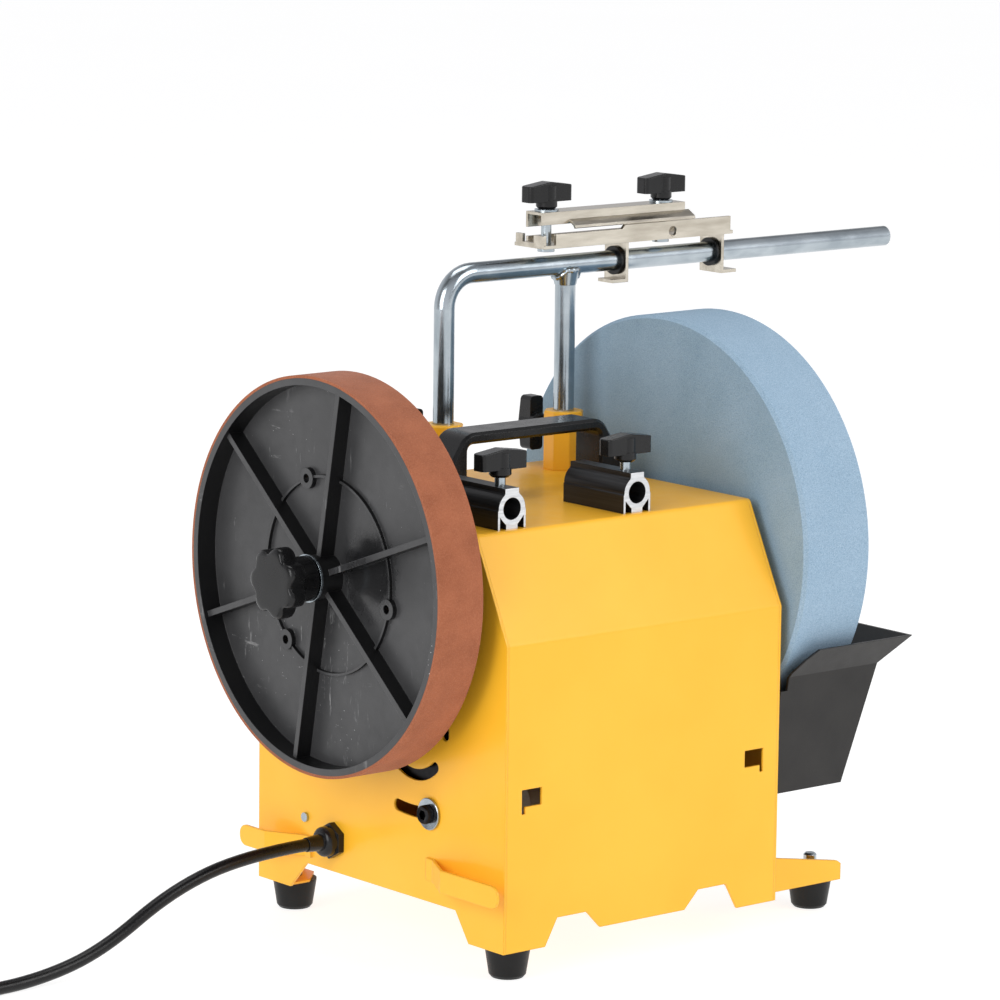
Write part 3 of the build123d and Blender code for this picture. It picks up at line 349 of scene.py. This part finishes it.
def wheel_plastic():
    """The honing wheel's body: scuffed dusty flats, a dark oil smear, grit by the rim, and rib sides painted
    near black as painted shade.
    """
    s = Surface("disc_plastic")
    s.rounded(0.0006)
    flat = s.facing("X", 0.7, 0.95)
    tint = s.mix(s.ramp(s.noise(24, 4, 0.6), 0.3, 0.7), colour(52, 52, 53), colour(64, 64, 65))
    # Painted shade: faces across the axis, the rib and rim sides, are painted near black while the flats keep
    # the grey.
    body = s.mix(flat, colour(13, 13, 14), tint)
    smear = s.ramp(s.near((WEB_FACE_X, 77, 202), (12, 24, 27), 0.4), 1.15, 0.6)
    body = s.mix(s.math("MULTIPLY", smear, 0.75), body, colour(20, 20, 21))
    patch = s.ramp(s.noise(17, 4, 0.6), 0.45, 0.62)
    scratches = s.ramp(s.noise(300, 5, 0.75, (1, 0.5, 0.1)), 0.61, 0.7)
    across = s.ramp(s.noise(280, 5, 0.75, (1, 0.12, 0.6)), 0.64, 0.72)
    lines = s.math("MULTIPLY", s.math("MAXIMUM", scratches, across), s.math("MULTIPLY", patch, 0.5))
    dust = s.math("MULTIPLY", s.ramp(s.cells(260), 0.07, 0.04), patch)
    marks = s.math("MULTIPLY", s.math("MAXIMUM", lines, dust), flat)
    grit = s.ramp(s.cells(420), 0.16, 0.1)
    along_rim = s.ramp(s.near((WEB_FACE_X, 9, 158), (30, 4, 30), 0.25), 1.0, 0.6)
    marks = s.math("MAXIMUM", marks, s.math("MULTIPLY", grit, along_rim))
    s.paint(s.mix(marks, body, colour(196, 196, 196)))
    s.roughness(s.mix_value(smear, s.ramp(s.noise(140, 5), 0.3, 0.7, 0.3, 0.44), 0.16))
    s.bump(s.noise(900, 3), 0.00006, 0.5)
    return s.done()


def plated(name, dark, light, low_rough, high_rough, stretch=(1, 1, 1)):
    """Plated or ground metal: faint streaks, drawn out where stretch is under 1, and small stains."""
    s = Surface(name)
    s.rounded(0.0004)
    streak = s.noise(160, 3, 0.5, stretch)
    stain = s.ramp(s.noise(35, 4, 0.6), 0.4, 0.7)
    tone = s.mix(s.ramp(streak, 0.35, 0.65), dark, light)
    s.paint(s.mix(s.math("MULTIPLY", stain, 0.15), tone, dark))
    s.roughness(s.ramp(streak, 0.3, 0.7, low_rough, high_rough))
    s.bump(s.noise(900, 2, 0.5, stretch), 0.000008, 0.3)
    s.set(Metallic=1.0)
    return s.done()


def sleeve_aluminium():
    """Black anodised extrusion whose sawn and machined ends, which face front and back, are bare."""
    s = Surface("black_anodised")
    bare = s.facing("Y", 0.85, 0.95)
    drawn = s.noise(900, 4, 0.6, (1, 0.02, 1))
    black = s.mix(s.ramp(drawn, 0.35, 0.65), colour(22, 22, 24), colour(40, 40, 42))
    sawn = s.ramp(s.noise(700, 3, 0.6, (0.1, 1, 1)), 0.3, 0.7)
    cut = s.mix(sawn, colour(196, 198, 200), colour(228, 229, 230))
    s.paint(s.mix(bare, black, cut))
    s.link(s.ramp(bare, 0, 1, 0.35, 1.0), s.shader.inputs["Metallic"])
    s.roughness(s.ramp(bare, 0, 1, 0.36, 0.3))
    s.rounded(0.0003)
    s.bump(drawn, 0.00004, 0.3)
    return s.done()


def rubber(name, dark, light, rough):
    """Rubber or soft PVC with a faint paler bloom."""
    s = Surface(name)
    s.rounded(0.0006)
    bloom = s.ramp(s.noise(70, 5), 0.35, 0.7)
    s.paint(s.mix(bloom, dark, light))
    s.roughness(s.ramp(s.noise(600, 3), 0.3, 0.7, rough - 0.06, rough + 0.06))
    s.bump(s.noise(1500, 3), 0.0001, 0.4)
    s.set(Specular_IOR_Level=0.3)
    return s.done()


def cast_metal(name, dark, light, metallic, rough):
    """Iron or aluminium with a grainy skin."""
    s = Surface(name)
    s.rounded(0.0008)
    sand = s.noise(700, 5, 0.65)
    s.paint(s.mix(s.ramp(sand, 0.35, 0.65), dark, light))
    s.roughness(s.ramp(sand, 0.3, 0.7, rough - 0.08, rough + 0.08))
    s.bump(sand, 0.0002, 0.5)
    s.set(Metallic=metallic)
    return s.done()


BLACKS = (colour(13, 13, 14), colour(23, 23, 24))
# Blender adds .001 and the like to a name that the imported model's own material already has.
MATERIALS = {material.name.partition(".")[0]: material for material in (
    powder_coat(),
    stone(),
    leather(),
    wheel_plastic(),
    sleeve_aluminium(),
    moulded("trough_plastic", colour(26, 24, 23), colour(36, 34, 32), 0.28, 0.4, grain=1100),
    moulded("black_plastic", *BLACKS, 0.2, 0.3, depth=0.00004),
    moulded("rocker_plastic", colour(150, 20, 16), colour(172, 28, 22), 0.2, 0.3),
    moulded("bush_nylon", colour(210, 206, 190), colour(226, 222, 208), 0.4, 0.5),
    moulded("capacitor_shell", colour(206, 206, 200), colour(222, 222, 216), 0.25, 0.35),
    moulded("plug_plastic", *BLACKS, 0.4, 0.52),
    plated("zinc_plate", colour(158, 168, 175), colour(184, 193, 199), 0.18, 0.25, (0.3, 1, 0.3)),
    plated("bright_steel", colour(150, 150, 153), colour(186, 186, 188), 0.24, 0.36),
    plated("black_steel", colour(30, 30, 32), colour(46, 46, 48), 0.3, 0.42),
    plated("nickel_plate", colour(186, 178, 164), colour(216, 209, 195), 0.16, 0.27, (0.2, 1, 1)),
    rubber("foot_rubber", colour(10, 10, 11), colour(18, 18, 19), 0.42),
    rubber("drive_rubber", colour(28, 28, 28), colour(44, 44, 44), 0.7),
    rubber("lead_sheath", colour(12, 12, 13), colour(20, 20, 21), 0.3),
    cast_metal("motor_iron", colour(66, 70, 74), colour(92, 96, 100), 0.3, 0.55),
    cast_metal("cast_shield", colour(150, 151, 154), colour(182, 183, 186), 1.0, 0.42),
)}


def dress(obj, slot_name):
    obj.data.materials.clear()
    obj.data.materials.append(MATERIALS[slot_name])


def dress_cad_nodes():
    slots = {row["node"]: row["material_slot"] for row in frame["record"]["subparts"]}
    for name, obj in frame["nodes"].items():
        dress(obj, slots[name])


dress_cad_nodes()
dress(lead, "lead_sheath")

# ---------------------------------------------------------------- detailed pieces

SHARP = radians(38)


def add_piece(name, mesh_maker, body, slot_name, *replaced):
    """Links what mesh_maker has drawn in a bmesh as one piece that rides on a body."""
    bm = bmesh.new()
    mesh_maker(bm)
    bmesh.ops.recalc_face_normals(bm, faces=bm.faces)
    mesh = bpy.data.meshes.new(name)
    bm.to_mesh(mesh)
    bm.free()
    for polygon in mesh.polygons:
        polygon.use_smooth = True
    mesh.set_sharp_from_angle(angle=SHARP)
    piece = bpy.data.objects.new(name, mesh)
    bpy.context.scene.collection.objects.link(piece)
    dress(piece, slot_name)
    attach(piece, body)
    if replaced:
        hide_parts(*replaced)
    return piece


def skin(bm, rings):
    """Quads between each ring of vertices and the next."""
    for ring, following in zip(rings, rings[1:]):
        for i in range(len(ring)):
            j = (i + 1) % len(ring)
            bm.faces.new((ring[i], ring[j], following[j], following[i]))


def turned_rings(bm, profile, centre, sides, radius_at=None):
    """Rings of vertices about an X axis through centre (y, z); profile is (along, radius) in mm."""
    rings = []
    for along, radius in profile:
        ring = []
        for i in range(sides):
            angle = 2 * pi * i / sides
            r = radius if radius_at is None else radius_at(angle, along, radius)
            ring.append(bm.verts.new(at(along, centre[0] + r * cos(angle), centre[1] + r * sin(angle))))
        rings.append(ring)
    return rings


def turned(profile, centre, sides, radius_at):
    """Mesh maker of a solid turned body, closed with a cap at each end."""
    def make(bm):
        rings = turned_rings(bm, profile, centre, sides, radius_at)
        skin(bm, rings)
        bm.faces.new(rings[0])
        bm.faces.new(rings[-1])
    return make


def ring_body(profile, centre, sides=64):
    """Mesh maker of a turned ring: the profile is closed on itself."""
    def make(bm):
        rings = turned_rings(bm, profile, centre, sides)
        skin(bm, rings + rings[:1])
    return make


SHAFT_AT = (113.6, 195.7)
KNOB_LOBES, SIDES_PER_LOBE = 7, 24
KNOB_R, KNOB_NECK_R, LOBE_DEPTH = 20.0, 13.2, 0.19


def make_star_knob():
    """Glossy moulded star knob: scalloped rim, almost flat face and a round neck down to the washer."""
    def scallop(angle, along, radius):
        """Lobes that fade out towards the middle of the face and stop at the neck."""
        if radius < KNOB_NECK_R:
            return radius
        depth = (radius - KNOB_NECK_R) / (KNOB_R - KNOB_NECK_R)
        return radius * (1 - LOBE_DEPTH * depth * (0.5 - 0.5 * cos(KNOB_LOBES * angle)) ** 1.5)

    profile = [(-148.8, 4.2), (-148.8, 12.2), (-149.2, 12.6), (-160.6, 12.6), (-161.4, 13.0), (-161.8, 17.2),
               (-162.4, 18.8), (-163.4, 19.7), (-165.0, 20.0), (-170.2, 20.0), (-171.8, 19.6), (-172.7, 18.6),
               (-173.1, 17.2), (-173.2, 15.6), (-173.2, 12.4), (-173.25, 8.0), (-173.3, 3.0), (-173.3, 0.3)]
    make = turned(profile, SHAFT_AT, KNOB_LOBES * SIDES_PER_LOBE, scallop)
    add_piece("star_knob_moulding", make, "hub_knob", "black_plastic", "star_knob")


BOLT_AT = (64.2, 66.5)
KNURLS, KNURL_HEIGHT, HEAD_SIDE = 36, 0.13, (-105.3, -102.2)
SOCKET_R, SOCKET_END_X = 3.2, -103.0


def make_tension_bolt():
    """Black socket-head screw with a knurled head and hexagon socket, its washer and its nut."""
    def shape(angle, along, radius):
        """Knurls along the head's side, a hexagon down the socket, round elsewhere."""
        if HEAD_SIDE[0] < along < HEAD_SIDE[1]:
            radius += KNURL_HEIGHT * cos(KNURLS * angle)
        if radius <= SOCKET_R and along <= SOCKET_END_X:
            radius *= 0.93 / max(cos(angle % (pi / 3) - pi / 6), 0.5)
        return radius

    head = [(-103.2, 0.4), (-103.2, 2.7), (-105.6, 2.7), (-105.8, 3.0), (-105.8, 4.6), (-105.4, 5.1),
            (-105.2, 5.15), (-104.4, 5.15), (-103.6, 5.15), (-102.8, 5.15), (-102.3, 5.15), (-101.9, 4.9),
            (-101.9, 3.0), (-88.4, 3.0), (-88.0, 2.5)]
    screw = turned(head, BOLT_AT, 4 * KNURLS, shape)
    add_piece("tension_screw", screw, "motor", "black_steel", "tension_bolt")
    washer = [(-101.85, 3.2), (-101.85, 8.7), (-101.6, 9.0), (-100.5, 9.0), (-100.35, 8.8), (-100.35, 3.2)]
    add_piece("tension_washer", ring_body(washer, BOLT_AT), "motor", "zinc_plate")
    nut = [(-93.4, 3.1), (-93.4, 5.4), (-93.1, 5.7), (-88.9, 5.7), (-88.6, 5.4), (-88.6, 3.1)]
    add_piece("tension_nut", ring_body(nut, BOLT_AT, 6), "motor", "zinc_plate")


LEG_X, BAR_Y, BAR_Z, ROD_R = 83.0, 171.0, 346.3, 6.0
WELD_R, BEAD_R, WELD_SINK = 7.0, 1.9, 1.2


def make_weld():
    """Lumpy weld bead where the right leg meets the underside of the bar."""
    def bead_ring(bm, angle, around=10):
        x, y = WELD_R * cos(angle), WELD_R * sin(angle)
        under = sqrt(max(ROD_R ** 2 - min(abs(y), ROD_R * 0.97) ** 2, 0))
        ripple = 0.28 * sin(14 * angle) + 0.5 * noise.noise(Vector((x, y, 0)) * 0.35)
        reach = BEAD_R + ripple * 0.6
        middle = Vector((LEG_X + x, BAR_Y + y, BAR_Z - under - WELD_SINK))
        outward, up = Vector((cos(angle), sin(angle), 0)), Vector((0, 0, 1))
        turns = [2 * pi * k / around for k in range(around)]
        return [bm.verts.new(at(*(middle + (outward * cos(a) + up * sin(a)) * reach))) for a in turns]

    def make(bm):
        steps = 96
        rings = [bead_ring(bm, 2 * pi * i / steps) for i in range(steps)]
        skin(bm, rings + rings[:1])

    add_piece("leg_weld", make, "support", "zinc_plate")


make_star_knob()
make_tension_bolt()
make_weld()

# ---------------------------------------------------------------- studio


FLOOR_R, FLOOR_GLOW = 14, 0.84
SKY_BY_HEIGHT = ((0.0, 1.0), (0.35, 1.0), (0.6, 0.75), (0.9, 0.35))
SKY_AROUND = ((0.0, 0.35), (0.08, 0.9), (0.2, 1.0), (0.3, 0.4), (0.36, 1.0), (0.52, 1.0), (0.6, 0.35),
              (0.68, 1.0), (0.86, 1.0), (0.93, 0.35), (1.0, 0.35))
SKY_STRENGTH, BACKDROP = 0.86, 1.3
LIGHT_TARGET = Vector((0, 0, 0.2))
LIGHTS = (  # name, place, width and height, power
    ("key", (1.2, -2.6, 1.7), (1.6, 1.6), 33),
    ("fill", (-2.6, -0.6, 1.2), (1.4, 1.8), 37),
    ("top", (0.2, 0.3, 2.6), (1.8, 1.2), 18),
)


def make_floor():
    bpy.ops.mesh.primitive_circle_add(vertices=96, radius=FLOOR_R, fill_type="NGON", location=(0, 0, 0))
    floor = bpy.context.object
    floor.name = "floor"
    s = Surface("floor_paper")
    s.paint(s.mix(s.noise(2, 2), colour(148, 148, 148), colour(154, 154, 154)))
    s.set(Roughness=0.9, Specular_IOR_Level=0.1, Emission_Color=(1, 1, 1, 1), Emission_Strength=FLOOR_GLOW)
    floor.data.materials.append(s.done())


def sky_ramp(nodes, links, factor, stops):
    """A grey ramp over (position, grey) stops."""
    ramp = nodes.new("ShaderNodeValToRGB")
    links.new(factor, ramp.inputs[0])
    elements = ramp.color_ramp.elements
    elements.remove(elements[1])
    for i, (position, grey) in enumerate(stops):
        element = elements[0] if i == 0 else elements.new(position)
        element.position = position
        element.color = (grey, grey, grey * 1.015, 1)
    return ramp.outputs[0]


def make_sky():
    """Surround of the studio: bright walls with darker gaps and a dim ceiling, for metal to reflect."""
    world = bpy.data.worlds.new("studio")
    world.use_nodes = True
    bpy.context.scene.world = world
    nodes, links = world.node_tree.nodes, world.node_tree.links
    where = nodes.new("ShaderNodeTexCoord")
    split = nodes.new("ShaderNodeSeparateXYZ")
    links.new(where.outputs["Generated"], split.inputs[0])
    height = sky_ramp(nodes, links, split.outputs["Z"], SKY_BY_HEIGHT)
    around = nodes.new("ShaderNodeTexGradient")
    around.gradient_type = "RADIAL"
    links.new(where.outputs["Generated"], around.inputs[0])
    walls = sky_ramp(nodes, links, around.outputs["Fac"], SKY_AROUND)
    both = nodes.new("ShaderNodeMix")
    both.data_type, both.blend_type = "RGBA", "MULTIPLY"
    both.inputs[0].default_value = 1.0
    links.new(height, both.inputs[6])
    links.new(walls, both.inputs[7])
    backdrop = nodes.new("ShaderNodeMix")
    backdrop.data_type = "RGBA"
    backdrop.inputs[7].default_value = (BACKDROP, BACKDROP, BACKDROP, 1)
    ray = nodes.new("ShaderNodeLightPath")
    links.new(ray.outputs["Is Camera Ray"], backdrop.inputs[0])
    links.new(both.outputs[2], backdrop.inputs[6])
    links.new(backdrop.outputs[2], nodes["Background"].inputs["Color"])
    nodes["Background"].inputs["Strength"].default_value = SKY_STRENGTH


def make_light(name, place, size, power):
    data = bpy.data.lights.new(name, "AREA")
    data.shape, data.size, data.size_y, data.energy = "RECTANGLE", size[0], size[1], power
    light = bpy.data.objects.new(name, data)
    light.location = place
    light.rotation_euler = (LIGHT_TARGET - Vector(place)).to_track_quat("-Z", "Y").to_euler()
    bpy.context.scene.collection.objects.link(light)


def make_studio():
    make_floor()
    make_sky()
    for light in LIGHTS:
        make_light(*light)
    bpy.context.scene.view_settings.view_transform = "Standard"


make_studio()
